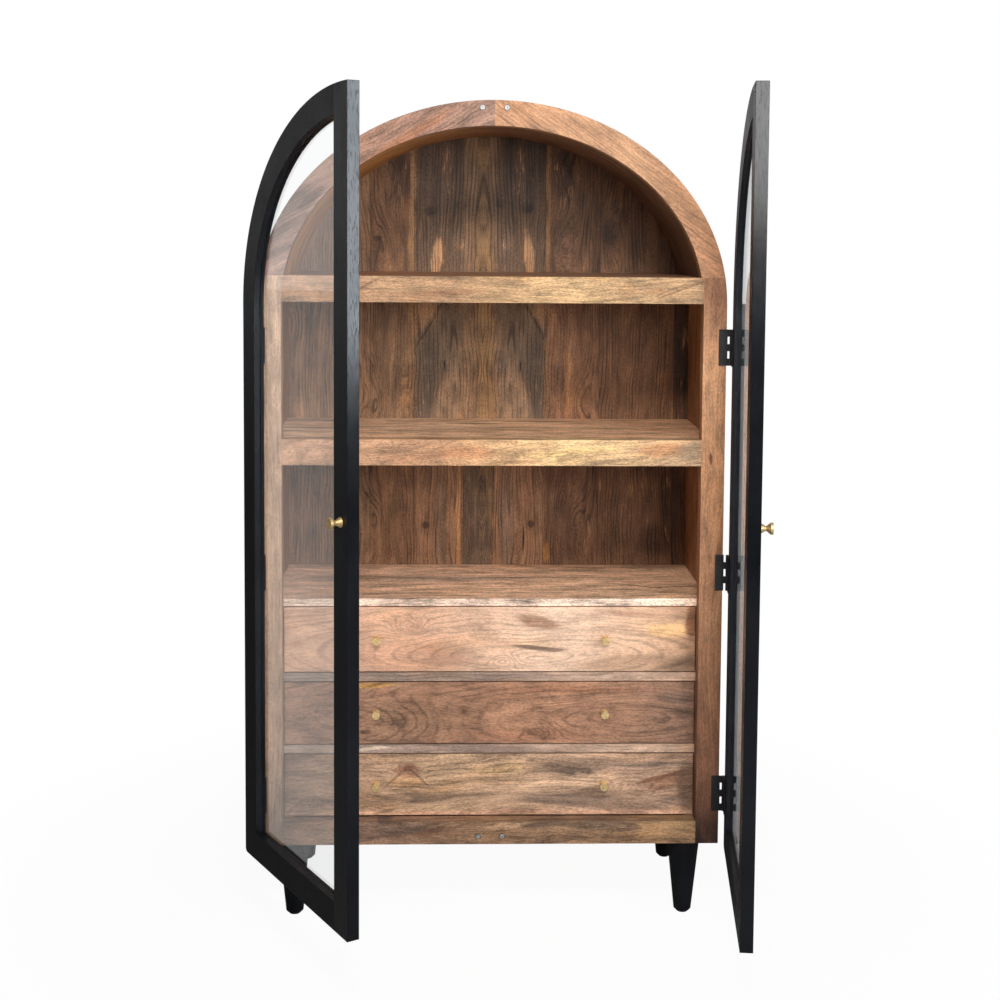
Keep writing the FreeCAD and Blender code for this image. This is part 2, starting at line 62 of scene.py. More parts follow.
# Materials
class Graph:
    """A material and its nodes; its methods take numbers or the outputs of other nodes."""

    def __init__(self, name):
        self.material = bpy.data.materials.new(name)
        self.material.use_nodes = True
        self.tree = self.material.node_tree
        self.tree.nodes.clear()
        self.shader = self.add("ShaderNodeBsdfPrincipled")
        self.out = self.add("ShaderNodeOutputMaterial")
        self.tree.links.new(self.shader.outputs[0], self.out.inputs["Surface"])
        self.place = self.add("ShaderNodeTexCoord").outputs["Object"]
        split = self.add("ShaderNodeSeparateXYZ", Vector=self.place)
        self.x, self.y, self.z = split.outputs

    def add(self, kind, **inputs):
        """A node with numbers or links in the inputs named; an underscore stands for a space."""
        node = self.tree.nodes.new(kind)
        for name, value in inputs.items():
            self.put(node, name.replace("_", " "), value)
        return node

    def put(self, node, name, value):
        socket = node.inputs[name]
        if isinstance(value, bpy.types.NodeSocket):
            self.tree.links.new(value, socket)
        else:
            socket.default_value = value

    def math(self, kind, *values):
        node = self.tree.nodes.new("ShaderNodeMath")
        node.operation = kind
        for index, value in enumerate(values):
            self.put(node, index, value)
        return node.outputs[0]

    def plus(self, a, b):
        return self.math("ADD", a, b)

    def minus(self, a, b):
        return self.math("SUBTRACT", a, b)

    def times(self, a, b):
        return self.math("MULTIPLY", a, b)

    def above(self, value, limit):
        return self.math("GREATER_THAN", value, limit)

    def about(self, noise, share):
        """How far a noise stands from its middle value, times a share."""
        return self.times(self.minus(noise, 0.5), share)

    def length(self, a, b):
        """The length of a line that runs a one way and b across it."""
        return self.math("SQRT", self.plus(self.times(a, a), self.times(b, b)))

    def facing(self, axis):
        """How squarely the surface faces along an axis, either way."""
        normal = self.add("ShaderNodeNewGeometry").outputs["Normal"]
        return self.math("ABSOLUTE", self.add("ShaderNodeSeparateXYZ", Vector=normal).outputs[axis])

    def vector(self, x, y, z):
        return self.add("ShaderNodeCombineXYZ", X=x, Y=y, Z=z).outputs[0]

    def noise(self, vector, scale=1.0, detail=2.0, roughness=0.5, distortion=0.0):
        node = self.add("ShaderNodeTexNoise", Vector=vector, Scale=scale, Detail=detail, Roughness=roughness)
        node.inputs["Distortion"].default_value = distortion
        return node.outputs[0]

    def spread(self, value, low, high, to_low=0.0, to_high=1.0, smooth=True):
        """Maps the span from low to high onto the span from to_low to to_high, and holds the ends."""
        node = self.tree.nodes.new("ShaderNodeMapRange")
        node.interpolation_type = "SMOOTHSTEP" if smooth else "LINEAR"
        numbers = {"Value": value, "From Min": low, "From Max": high, "To Min": to_low, "To Max": to_high}
        for name, number in numbers.items():
            self.put(node, name, number)
        return node.outputs[0]

    def mix(self, share, first, second, kind="MIX"):
        """The first colour with a share of the second; each is three numbers or a link."""
        node = self.tree.nodes.new("ShaderNodeMix")
        node.data_type = "RGBA"
        node.blend_type = kind
        for index, value in ((0, share), (6, first), (7, second)):
            if not isinstance(value, bpy.types.NodeSocket) and index:
                value = (*value, 1.0)
            self.put(node, index, value)
        return node.outputs[2]

    def ramp(self, value, stops, stepped=False):
        """Colours at places along a value, which may have any range; stepped colours hold up to the next place."""
        low, high = stops[0][0], stops[-1][0]
        node = self.tree.nodes.new("ShaderNodeValToRGB")
        band = node.color_ramp
        band.interpolation = "CONSTANT" if stepped else "LINEAR"
        band.elements[0].color = (*stops[0][1], 1.0)
        band.elements[1].color = (*stops[-1][1], 1.0)
        for place, colour in stops[1:-1]:
            band.elements.new((place - low) / (high - low)).color = (*colour, 1.0)
        self.put(node, 0, self.spread(value, low, high, smooth=False))
        return node.outputs[0]

    def bump(self, height, distance, strength, soft_edge=0.0):
        """Relief in the shader, over edges that look rounded by the radius given."""
        node = self.add("ShaderNodeBump", Height=height, Distance=distance, Strength=strength)
        if soft_edge:
            bevel = self.add("ShaderNodeBevel", Radius=soft_edge)
            bevel.samples = 4
            self.tree.links.new(bevel.outputs[0], node.inputs["Normal"])
        self.tree.links.new(node.outputs[0], self.shader.inputs["Normal"])

    def oval(self, u, v, middle_u, middle_v, radius_u, radius_v, tilt=0.0):
        """One at the middle of an oval patch, nothing outside it, soft between."""
        du, dv = self.minus(u, middle_u), self.minus(v, middle_v)
        if tilt:
            along = self.plus(self.times(du, math.cos(tilt)), self.times(dv, math.sin(tilt)))
            dv = self.minus(self.times(dv, math.cos(tilt)), self.times(du, math.sin(tilt)))
            du = along
        du, dv = self.math("DIVIDE", du, radius_u), self.math("DIVIDE", dv, radius_v)
        reach = self.plus(self.times(du, du), self.times(dv, dv))
        return self.math("EXPONENT", self.times(reach, -1.0))


def timber(
    g, u, v, w, placed, tone, pith, tint, ring_gap=0.008, ring_share=0.30, swirls=(), marks=(), smoke=0.5, gold=0.4,
    contrast=1.0,
):
    """Oiled mango wood: growth rings, swirls, dark smoke, golden patches, fibres and pores.

    u runs along the grain, v across it and w into the board, and placed is the plain place across the grain.
    The pith has its place across and along the grain, and its slant. A swirl has its place and its radius along and
    across the grain, and its number of rings. A mark has its place and its radius along and across the grain, its
    tilt, its colour and its strength. The tint is a factor on the marks' colours.
    """
    sway = g.noise(g.vector(g.times(u, 2.4), g.times(v, 8.0), w))
    curl = g.noise(g.vector(g.times(u, 9.0), g.times(v, 26.0), g.plus(w, 5.0)), detail=1.0)
    bent = g.plus(v, g.plus(g.about(sway, 0.05), g.about(curl, 0.014)))
    turns = 0.0
    for middle_u, middle_v, radius_u, radius_v, count in swirls:
        eddy = g.oval(u, g.plus(placed, g.about(curl, 0.02)), middle_u, middle_v, radius_u, radius_v)
        turns = g.plus(turns, g.times(eddy, count))
        bent = g.minus(bent, g.times(g.times(g.minus(placed, middle_v), eddy), 0.6))

    # Growth rings lie about a pith that crosses the face at a slant
    side = g.minus(bent, pith[0])
    fall = g.times(g.minus(u, pith[1]), pith[2])
    radius = g.length(side, fall)
    bands = g.noise(g.vector(g.times(radius, 85.0), g.times(u, 1.6), w), detail=2.0)
    phase = g.plus(g.times(radius, 2.0 * math.pi / ring_gap), g.times(bands, 9.0))
    phase = g.plus(phase, g.times(turns, 2.0 * math.pi))
    lines = g.spread(g.math("SINE", phase), 0.30, 1.0)
    lines = g.times(lines, g.spread(curl, 0.38, 0.62, 0.25, 1.0))

    def figure(along, across, depth, **kind):
        return g.noise(g.vector(g.times(u, along), g.times(bent, across), depth), **kind)

    fibre = figure(22.0, 360.0, g.times(w, 40.0), detail=3.0, roughness=0.75)
    pores = g.spread(figure(170.0, 600.0, g.times(w, 60.0), detail=2.0), 0.38, 0.68)
    blotch = figure(14.0, 40.0, g.plus(w, 23.0), detail=3.0, roughness=0.6)
    cloud = figure(3.0, 19.0, g.plus(w, 11.0), detail=4.0, roughness=0.62, distortion=0.6)
    cloud = g.spread(cloud, 0.52, 0.70)
    warm = figure(3.6, 15.0, g.plus(w, 17.0), detail=3.0, roughness=0.6)
    warm = g.spread(warm, 0.53, 0.72)

    for middle_u, middle_v, radius_u, radius_v, tilt, colour, share in marks:
        drawn = g.plus(placed, g.plus(g.about(sway, 0.02), g.about(curl, 0.012)))
        blot = g.oval(u, drawn, middle_u, middle_v, radius_u * 1.2, radius_v * 1.2, tilt)
        ragged = g.spread(g.plus(blot, g.plus(g.about(fibre, 1.0), g.about(blotch, 0.9))), 0.16, 0.62)
        tone = g.mix(g.times(ragged, share), tone, tuple(c * t for c, t in zip(linear(*colour), tint)))
    tone = g.mix(g.times(warm, gold), tone, g.mix(1.0, tone, GOLD, "MULTIPLY"))
    tone = g.mix(g.times(cloud, smoke), tone, g.mix(1.0, tone, SMOKE, "MULTIPLY"))
    share = g.plus(g.about(bands, 0.9), g.plus(g.about(fibre, 1.15), g.about(blotch, 1.4)))
    share = g.plus(1.0, g.times(share, contrast))
    share = g.times(share, g.minus(1.0, g.times(lines, ring_share)))
    share = g.times(share, g.minus(1.0 + 0.14 * contrast, g.times(pores, 0.38 * contrast)))
    colour = g.mix(1.0, tone, g.vector(share, share, share), "MULTIPLY")
    gloss = g.plus(0.50, g.plus(g.about(fibre, 0.3), g.times(pores, 0.12)))
    height = g.minus(g.times(fibre, 0.5), g.plus(g.times(pores, 0.8), g.times(lines, 0.15)))
    return colour, gloss, height


def finish_wood(g, colour, gloss, height, painted=None):
    """Puts the wood on the shader, under black lacquer where the painted function gives one."""
    if painted:
        cover = painted(g)
        colour = g.mix(cover, colour, PAINT)
        gloss = g.plus(g.times(gloss, g.minus(1.0, cover)), g.times(cover, 0.45))
    g.put(g.shader, "Base Color", colour)
    g.put(g.shader, "Roughness", gloss)
    g.shader.inputs["Specular IOR Level"].default_value = 0.35
    g.bump(height, 0.0005, 0.5, soft_edge=0.0012)
    return g.material


def board(name, grain, tones, seed, pith, painted=None, tilt=0.0, edge=None, tint=(1.0, 1.0, 1.0), **features):
    """A board with its grain along one axis, round the arch, or at a tilt from X in the plane of the front.

    The tones are places along the grain with the colours there. The edge is the place in Y of the board's front
    edge, with its colour.
    """
    g = Graph(name)
    if grain == "arch":
        u, placed, w = g.times(g.math("ARCTAN2", g.minus(g.z, SPRING), g.x), ARCH_RADIUS), g.y, 0.0
    else:
        grains = {"X": (g.x, g.z, g.y), "Y": (g.y, g.x, g.z), "Z": (g.z, g.x, g.y), "top": (g.x, g.y, g.z)}
        u, placed, w = grains[grain]
    tone = g.ramp(u, [(place, linear(*colour)) for place, colour in tones])
    if edge:
        tone = g.mix(g.spread(g.y, edge[0], edge[0] - 0.0005), tone, linear(*edge[1]))
    if tilt:
        u, placed = (
            g.plus(g.times(u, math.cos(tilt)), g.times(placed, math.sin(tilt))),
            g.minus(g.times(placed, math.cos(tilt)), g.times(u, math.sin(tilt))),
        )
    # Across the grain the figure runs on around the board's edges
    v = g.plus(placed, g.plus(w, -FRONT))
    tone = g.mix(1.0, tone, tint, "MULTIPLY")
    colour, gloss, height = timber(g, u, v, g.plus(w, seed), placed, tone, pith, tint, **features)
    return finish_wood(g, colour, gloss, height, painted)


def side_paint(g):
    """One on the carcass's outer sides, which are lacquered black like the doors."""
    outermost = HALF_WIDTH - 0.01
    return g.times(g.above(g.math("ABSOLUTE", g.x), outermost), g.above(g.facing(0), 0.5))


def arch_paint(g):
    """One on the outer surface of the arch, which is an oval about the spring line."""
    across = g.times(g.x, 1.0 / HALF_WIDTH)
    up = g.math("DIVIDE", g.minus(g.z, SPRING), ARCH_RISE)
    return g.times(g.above(g.length(across, up), 0.99), g.minus(1.0, g.above(g.facing(1), 0.5)))


def seam_lines(g, places):
    """One on the narrow lines where staves meet."""
    lines = 0.0
    for place in places:
        lines = g.math("MAXIMUM", lines, g.spread(g.math("ABSOLUTE", g.minus(g.x, place)), 0.0012, 0.0003))
    return lines


def staved_back():
    """The back: upright staves joined edge to edge, a bookmatched set in the middle, seen in three bays."""
    g = Graph("back_wood")
    # The left edge of each stave, then the tone that it shows in the low, the middle and the high bay
    edges = (-0.5, -0.284, -0.1795, -0.0645, 0.0115, 0.1305, 0.262, 0.4415)
    tones = {
        "pale": (128, 99, 76), "light": (121, 89, 67), "brown": (112, 87, 67), "tan": (107, 78, 57),
        "grey": (102, 83, 67), "russet": (97, 70, 51), "umber": (88, 69, 55), "deep": (80, 55, 41),
    }
    # The last stave, beside the right post, is deep in every bay: partly its own tone, partly painted shade from the
    # right post.
    bays = [
        g.ramp(g.x, [(edge, linear(*tones[tone])) for edge, tone in zip(edges, bay.split())], stepped=True)
        for bay in (
            "brown tan light umber light russet russet deep",
            "pale brown grey brown grey light tan deep",
            "pale tan umber brown umber russet tan deep",
        )
    ]
    # The rear face shows one run of boards from top to bottom
    inside = g.minus(1.0, g.above(g.y, REAR_FACE))
    low_bay = g.minus(1.0, g.above(g.z, MIDDLE_SHELF))
    high_bay = g.times(inside, g.above(g.z, TOP_SHELF))
    tone = g.mix(g.times(inside, low_bay), bays[1], bays[0])
    tone = g.mix(high_bay, tone, bays[2])
    tone = g.mix(1.0, tone, BACK_TINT, "MULTIPLY")
    # The two halves of the bookmatched set mirror each other about its middle; other staves have their own figure
    middle, half_set = -0.0165, 0.1465
    folded = g.math("ABSOLUTE", g.minus(g.x, middle))
    outer = g.above(folded, half_set)
    seed = g.plus(g.times(g.above(g.x, edges[6]), 3.1), g.times(g.above(g.x, edges[7]), 1.9))
    seed = g.plus(g.times(outer, 2.3), seed)
    seed = g.plus(seed, g.times(high_bay, 0.35))
    dark, line = (56, 40, 32), (34, 24, 20)
    marks = [
        (1.634, -0.213, 0.055, 0.021, 0.0, dark, 0.75), (1.641, 0.170, 0.060, 0.021, 0.0, dark, 0.75),
        (1.554, -0.142, 0.011, 0.013, 0.0, line, 0.8), (1.566, -0.071, 0.009, 0.012, 0.0, line, 0.6),
        (1.571, 0.023, 0.009, 0.012, 0.0, line, 0.6), (1.563, 0.088, 0.011, 0.013, 0.0, line, 0.8),
        (1.690, -0.120, 0.080, 0.045, 0.0, (66, 52, 45), 0.65), (1.681, 0.080, 0.080, 0.045, 0.0, (60, 47, 40), 0.7),
        (1.504, 0.288, 0.030, 0.016, 0.0, dark, 0.6), (1.580, -0.105, 0.030, 0.050, 0.0, (74, 59, 50), 0.6),
        (1.590, 0.055, 0.030, 0.050, 0.0, (72, 57, 48), 0.6), (1.444, -0.126, 0.042, 0.0095, 0.05, (164, 128, 98), 0.9),
        (1.452, 0.090, 0.046, 0.0100, -0.08, (158, 122, 92), 0.9), (1.288, -0.142, 0.058, 0.0026, 0.52, line, 0.6),
        (1.290, 0.108, 0.058, 0.0026, -0.49, line, 0.6), (1.310, -0.160, 0.040, 0.018, 0.45, (150, 112, 82), 0.7),
        (1.310, 0.128, 0.040, 0.018, -0.45, (150, 112, 82), 0.7),
        (1.165, -0.145, 0.085, 0.018, 0.05, (76, 64, 56), 0.8), (1.160, 0.112, 0.085, 0.018, -0.05, (76, 64, 56), 0.8),
        (1.110, -0.082, 0.055, 0.028, 0.0, (136, 108, 86), 0.75),
        (1.110, 0.055, 0.055, 0.028, 0.0, (136, 108, 86), 0.75),
        (1.200, -0.006, 0.300, 0.012, 0.0, (146, 112, 68), 0.4), (1.144, 0.186, 0.060, 0.012, 0.0, (150, 108, 72), 0.6),
        (1.120, -0.205, 0.060, 0.010, 0.0, (140, 104, 72), 0.6), (1.205, 0.465, 0.080, 0.022, 0.0, (54, 42, 36), 0.8),
        (1.188, -0.107, 0.010, 0.0016, 0.0, line, 1.0), (1.186, 0.074, 0.010, 0.0016, 0.0, line, 1.0),
        (0.802, -0.150, 0.008, 0.008, 0.0, (64, 40, 30), 0.9), (0.805, 0.102, 0.008, 0.008, 0.0, (64, 40, 30), 0.9),
        (0.766, -0.129, 0.024, 0.0016, 0.0, line, 1.0), (0.771, 0.081, 0.026, 0.0020, 0.0, line, 1.0),
        (0.737, 0.143, 0.022, 0.007, 0.0, (156, 110, 56), 0.7), (0.767, 0.402, 0.030, 0.034, 0.4, (58, 37, 25), 0.6),
        (0.850, 0.435, 0.090, 0.018, 0.0, (50, 34, 24), 0.7), (0.800, 0.045, 0.120, 0.016, 0.0, (92, 76, 66), 0.6),
        (0.800, -0.115, 0.120, 0.014, 0.0, (96, 78, 66), 0.6), (0.800, -0.069, 0.300, 0.004, 0.0, (146, 106, 70), 0.8),
        (0.800, 0.016, 0.300, 0.004, 0.0, (134, 98, 70), 0.8), (1.550, -0.186, 0.250, 0.006, 0.0, (134, 104, 74), 0.8),
        (1.550, 0.136, 0.250, 0.005, 0.0, (124, 93, 66), 0.8), (1.200, 0.137, 0.180, 0.005, 0.0, (134, 102, 74), 0.7),
        (1.200, -0.187, 0.180, 0.006, 0.0, (128, 94, 66), 0.7), (1.450, -0.022, 0.450, 0.012, 0.0, (126, 98, 66), 0.5),
    ]
    swirls = [
        (1.100, -0.249, 0.100, 0.040, 6.0), (1.096, 0.220, 0.100, 0.040, 6.0), (1.504, 0.288, 0.060, 0.022, 4.0),
        (1.456, -0.218, 0.090, 0.045, 5.0), (1.450, 0.181, 0.090, 0.045, 5.0), (0.800, -0.253, 0.090, 0.035, 5.0),
        (0.800, 0.213, 0.090, 0.035, 5.0), (0.860, -0.026, 0.110, 0.026, 5.0), (1.634, -0.213, 0.070, 0.030, 4.0),
        (1.641, 0.170, 0.070, 0.030, 4.0),
    ]
    v = g.plus(folded, g.times(seed, 0.21))
    colour, gloss, height = timber(
        g, g.z, v, g.plus(g.y, g.plus(seed, 7.7)), g.x, tone, pith=(0.07, 0.9, 0.05), tint=BACK_TINT, ring_gap=0.0075,
        ring_share=0.6, swirls=swirls, marks=marks, smoke=0.45, gold=0.3, contrast=1.3,
    )
    # Two of the seams show only in the low bay
    narrow = seam_lines(g, edges[3:5])
    joint = g.math("MAXIMUM", seam_lines(g, edges[1:3] + edges[5:]), g.times(narrow, low_bay))
    colour = g.mix(g.times(joint, 0.6), colour, linear(40, 28, 22))
    return finish_wood(g, colour, gloss, g.minus(height, joint))


def black_paint(name, grain, seed, roughness=0.42, lumps=0.3, latch=None):
    """Black lacquer over open-grained wood: brushed along the grain, and thicker and glossier on a latch edge.

    The latch is the pin's X, the door's direction from the pin in X and Y, and how far out its edge lies.
    """
    g = Graph(name)
    length, across, depth = {"Z": (g.z, g.x, g.y), "X": (g.x, g.z, g.y)}[grain]

    def drawn_out(along, aside):
        return g.vector(g.times(length, along), g.times(across, aside), g.times(g.plus(depth, seed), aside))

    brush = g.noise(drawn_out(14.0, 300.0), detail=3.0, roughness=0.6)
    pits = g.spread(g.noise(drawn_out(60.0, 420.0), detail=1.0), 0.58, 0.72)
    lump = g.noise(drawn_out(22.0, 90.0))
    cloud = g.noise(g.place, 6.0, 4.0, 0.62)
    speck = g.spread(g.noise(g.place, 700.0, 1.0), 0.70, 0.80)
    colour = g.mix(g.spread(cloud, 0.3, 0.7), (0.0034, 0.0038, 0.0054), (0.0066, 0.0074, 0.0100))
    colour = g.mix(g.times(speck, 0.3), colour, (0.08, 0.08, 0.09))
    g.put(g.shader, "Base Color", colour)
    rough = g.plus(g.plus(roughness, g.about(cloud, 0.3)), g.plus(g.about(brush, 0.2), g.times(pits, 0.1)))
    if latch:
        pin_x, along_x, along_y, reach = latch
        out = g.plus(g.times(g.minus(g.x, pin_x), along_x), g.times(g.minus(g.y, PIN_Y), along_y))
        rough = g.times(rough, g.minus(1.0, g.times(g.above(out, reach - 0.0004), 0.55)))
    g.put(g.shader, "Roughness", rough)
    g.shader.inputs["Specular IOR Level"].default_value = 0.36 if latch else 0.17
    height = g.minus(g.plus(brush, g.plus(g.times(cloud, 0.6), g.times(lump, lumps * 4.0))), g.times(pits, 0.5))
    g.bump(height, 0.0004, 0.25 if latch else 0.6, soft_edge=0.0016)
    return g.material


def brass(name):
    """Pale old brass: turned marks, brown in places and brighter where fingers rub it."""
    g = Graph(name)
    mottle = g.noise(g.place, 220.0, 4.0, 0.65)
    turned = g.noise(g.vector(g.times(g.x, 300.0), g.times(g.y, 1500.0), g.times(g.z, 300.0)), detail=2.0)
    g.put(g.shader, "Base Color", g.mix(g.spread(mottle, 0.3, 0.7), (0.62, 0.41, 0.17), (1.0, 0.74, 0.38)))
    g.put(g.shader, "Roughness", g.spread(mottle, 0.2, 0.8, 0.40, 0.56))
    g.shader.inputs["Metallic"].default_value = 0.8
    g.bump(g.plus(turned, mottle), 0.0002, 0.3, soft_edge=0.001)
    return g.material


def metal(name, dark, light, rough, metallic):
    """Metal with a fine mottle of wear in its colour and its gloss."""
    g = Graph(name)
    mottle = g.noise(g.place, 300.0, 5.0, 0.7)
    g.put(g.shader, "Base Color", g.mix(g.spread(mottle, 0.35, 0.72), dark, light))
    g.put(g.shader, "Roughness", g.spread(mottle, 0.2, 0.8, *rough))
    g.shader.inputs["Metallic"].default_value = metallic
    g.bump(mottle, 0.0003, 0.4, soft_edge=0.0006)
    return g.material


def magnet_steel(name):
    """Nickel on the magnets, with a dark rim, a ring and a screw hole in the middle of each disc."""
    g = Graph(name)
    mottle = g.noise(g.place, 400.0, 3.0, 0.6)
    half_spacing, low, high = 0.026, 0.188, 1.767
    hole, ring_inside, ring_outside, rim = 0.0010, 0.0022, 0.0030, 0.0046
    side = g.minus(g.math("ABSOLUTE", g.x), half_spacing)
    rise = g.minus(g.z, g.plus(low, g.times(g.above(g.z, 1.0), high - low)))
    reach = g.length(side, rise)
    ring = g.times(g.above(reach, ring_inside), g.minus(1.0, g.above(reach, ring_outside)))
    dark = g.math("MAXIMUM", g.math("MAXIMUM", ring, g.above(reach, rim)), g.minus(1.0, g.above(reach, hole)))
    colour = g.mix(mottle, (0.42, 0.41, 0.40), (0.68, 0.67, 0.66))
    g.put(g.shader, "Base Color", g.mix(g.times(dark, 0.85), colour, (0.06, 0.055, 0.05)))
    g.put(g.shader, "Roughness", g.spread(mottle, 0.2, 0.8, 0.3, 0.5))
    g.shader.inputs["Metallic"].default_value = 0.6
    g.bump(g.minus(mottle, dark), 0.0003, 0.5)
    return g.material


def clear_glass(name):
    """Float glass, with the slightest green and a little dust on it."""
    g = Graph(name)
    dust = g.noise(g.place, 30.0, 5.0, 0.7)
    g.put(g.shader, "Base Color", (0.99, 1.0, 0.996, 1.0))
    g.put(g.shader, "Roughness", g.spread(dust, 0.3, 0.8, 0.0, 0.03))
    g.shader.inputs["Transmission Weight"].default_value = 1.0
    g.shader.inputs["IOR"].default_value = 1.45
    return g.material


def assign(material, *names):
    """Puts a material on the nodes named."""
    for name in names:
        mesh = nodes[name].data
        mesh.materials.clear()
        mesh.materials.append(material)


# Each part and what it is made of
def dress_wood():
    """Dresses the wooden parts, each board with its own tones, rings and marks."""
    # The right post's tones darken strongly toward its foot: partly the wood's own tone, partly painted shade low down.
    assign(
        board(
            "post_right_wood", "Z",
            tones=[
                (0.17, (46, 29, 24)), (0.28, (124, 87, 69)), (0.9, (200, 152, 117)), (1.2, (222, 172, 134)),
                (1.41, (172, 126, 94)),
            ],
            seed=1.3, pith=(0.52, 0.8, 0.04), painted=side_paint, tint=(0.72, 0.64, 0.55), ring_share=0.2, smoke=0.2,
            gold=0.3,
            marks=[
                (1.02, 0.471, 0.010, 0.0025, 0.0, (110, 66, 46), 0.9),
                (0.78, 0.489, 0.06, 0.006, 0.1, (140, 96, 70), 0.7), (0.19, 0.475, 0.03, 0.03, 0.0, (70, 48, 40), 0.6),
                (1.36, 0.48, 0.05, 0.012, 0.0, (142, 100, 78), 0.6),
            ],
        ),
        "post_right",
    )
    assign(
        board(
            "post_left_wood", "Z",
            tones=[(0.17, (112, 86, 68)), (0.42, (174, 132, 106)), (0.7, (186, 142, 114)), (1.41, (196, 154, 126))],
            seed=2.7, pith=(-0.52, 0.9, 0.04), painted=side_paint, tint=(0.95, 1.06, 1.1), ring_share=0.2, smoke=0.4,
            gold=0.3,
        ),
        "post_left",
    )
    assign(
        board(
            "arch_left_wood", "X",
            tones=[(-0.5, (176, 140, 124)), (-0.3, (186, 142, 118)), (-0.15, (182, 138, 116)), (0.0, (196, 154, 132))],
            seed=3.1, pith=(1.2, 0.3, 0.10), painted=arch_paint, tilt=0.5, tint=(0.71, 0.70, 0.70), contrast=1.2,
            smoke=0.7, gold=0.25,
            marks=[
                (0.4, 1.62, 0.05, 0.008, 0.0, (110, 78, 66), 0.7), (0.42, 1.57, 0.03, 0.008, 0.2, (96, 66, 56), 0.7),
                (0.62, 1.58, 0.10, 0.010, 0.1, (196, 132, 92), 0.7), (0.72, 1.52, 0.06, 0.008, 0.0, (140, 96, 80), 0.7),
            ],
        ),
        "arch_rib_left",
    )
    assign(
        board(
            "arch_right_wood", "X",
            tones=[(0.0, (226, 176, 140)), (0.3, (217, 173, 138)), (0.5, (196, 144, 108))],
            seed=4.9, pith=(1.1, -0.8, 0.05), painted=arch_paint, tilt=-0.62, tint=(0.79, 0.71, 0.63), ring_share=0.26,
            smoke=0.3, gold=0.2,
        ),
        "arch_rib_right",
    )
    # The shell's tones run from dark at the right spring to light toward the left: painted shade on the right of the
    # soffit and painted light on the left.
    assign(
        board(
            "arch_shell_wood", "arch",
            tones=[(0.0, (118, 92, 75)), (0.7, (142, 98, 66)), (1.0, (208, 146, 84))],
            seed=5.3, pith=(0.6, 0.0, 0.02), painted=arch_paint, contrast=1.4,
        ),
        "arch_shell",
    )
    assign(
        board(
            "side_wood", "Z",
            tones=[(0.17, (152, 106, 72)), (1.41, (156, 108, 70))],
            seed=6.1, pith=(0.5, 0.8, 0.05), painted=side_paint,
        ),
        "side_panel_left", "side_panel_right",
    )
    assign(staved_back(), "back_panel")
    assign(
        board(
            "shelf_top_front_wood", "X",
            tones=[(-0.45, (188, 150, 124)), (-0.1, (200, 162, 128)), (0.15, (228, 190, 144)), (0.45, (194, 156, 120))],
            seed=8.2, pith=(1.45, 0.1, 0.12), painted=side_paint, tint=(0.71, 0.66, 0.59), ring_share=0.25, gold=0.5,
            contrast=1.3,
            marks=[
                (-0.27, 1.39, 0.03, 0.003, 0.5, (120, 86, 62), 0.5),
                (0.348, 1.38, 0.016, 0.006, 0.0, (196, 140, 90), 0.5),
                (0.157, 1.396, 0.06, 0.006, 0.0, (244, 206, 158), 0.8),
                (0.41, 1.387, 0.05, 0.0020, 0.36, (120, 86, 60), 0.6),
                (0.38, 1.383, 0.03, 0.002, 0.4, (124, 90, 62), 0.5),
                (0.43, 1.398, 0.03, 0.002, 0.3, (118, 84, 60), 0.5),
                (-0.12, 1.372, 0.07, 0.006, 0.05, (170, 126, 96), 0.6),
                (0.288, 1.386, 0.02, 0.012, 0.6, (190, 146, 104), 0.6),
            ],
        ),
        "shelf_top_front",
    )
    assign(
        board(
            "shelf_middle_front_wood", "X",
            tones=[(-0.45, (190, 148, 120)), (-0.1, (202, 156, 120)), (0.15, (236, 196, 144)), (0.45, (198, 160, 124))],
            seed=9.4, pith=(1.02, 0.3, 0.14), tint=(0.83, 0.80, 0.77), ring_share=0.25, gold=0.6, contrast=1.3,
            swirls=[(-0.23, 1.04, 0.02, 0.012, 4.0)],
            marks=[
                (-0.053, 1.029, 0.05, 0.010, 0.0, (200, 142, 102), 0.7),
                (0.17, 1.036, 0.08, 0.006, 0.1, (250, 210, 146), 0.8),
                (0.371, 1.035, 0.045, 0.011, 0.0, (186, 126, 82), 0.7),
                (0.43, 1.035, 0.03, 0.016, 0.3, (160, 132, 104), 0.7),
                (0.237, 1.012, 0.05, 0.004, 0.12, (150, 120, 96), 0.7),
                (0.05, 1.012, 0.04, 0.003, 0.05, (160, 118, 86), 0.6),
                (-0.16, 1.02, 0.06, 0.008, 0.1, (176, 126, 94), 0.5),
            ],
        ),
        "shelf_middle_front",
    )
    assign(
        board(
            "shelf_top_panel_wood", "top",
            tones=[(-0.48, (160, 118, 92)), (0.48, (150, 110, 86))],
            seed=10.1, pith=(0.3, 0.0, 0.05), painted=side_paint,
        ),
        "shelf_top_panel",
    )
    assign(
        board(
            "shelf_middle_panel_wood", "top",
            tones=[(-0.48, (190, 154, 128)), (-0.1, (186, 146, 118)), (0.48, (182, 138, 108))],
            seed=11.6, pith=(0.25, 0.0, 0.06), tint=(1.5, 1.57, 1.52), smoke=0.8, contrast=1.4,
            marks=[
                (-0.028, 0.088, 0.045, 0.008, 0.0, (104, 80, 62), 0.8),
                (0.126, 0.131, 0.07, 0.008, 0.0, (104, 80, 62), 0.8),
                (0.255, -0.006, 0.06, 0.006, 0.0, (116, 86, 64), 0.7),
                (-0.205, 0.035, 0.14, 0.03, 0.0, (196, 160, 132), 0.6),
            ],
        ),
        "shelf_middle_panel",
    )
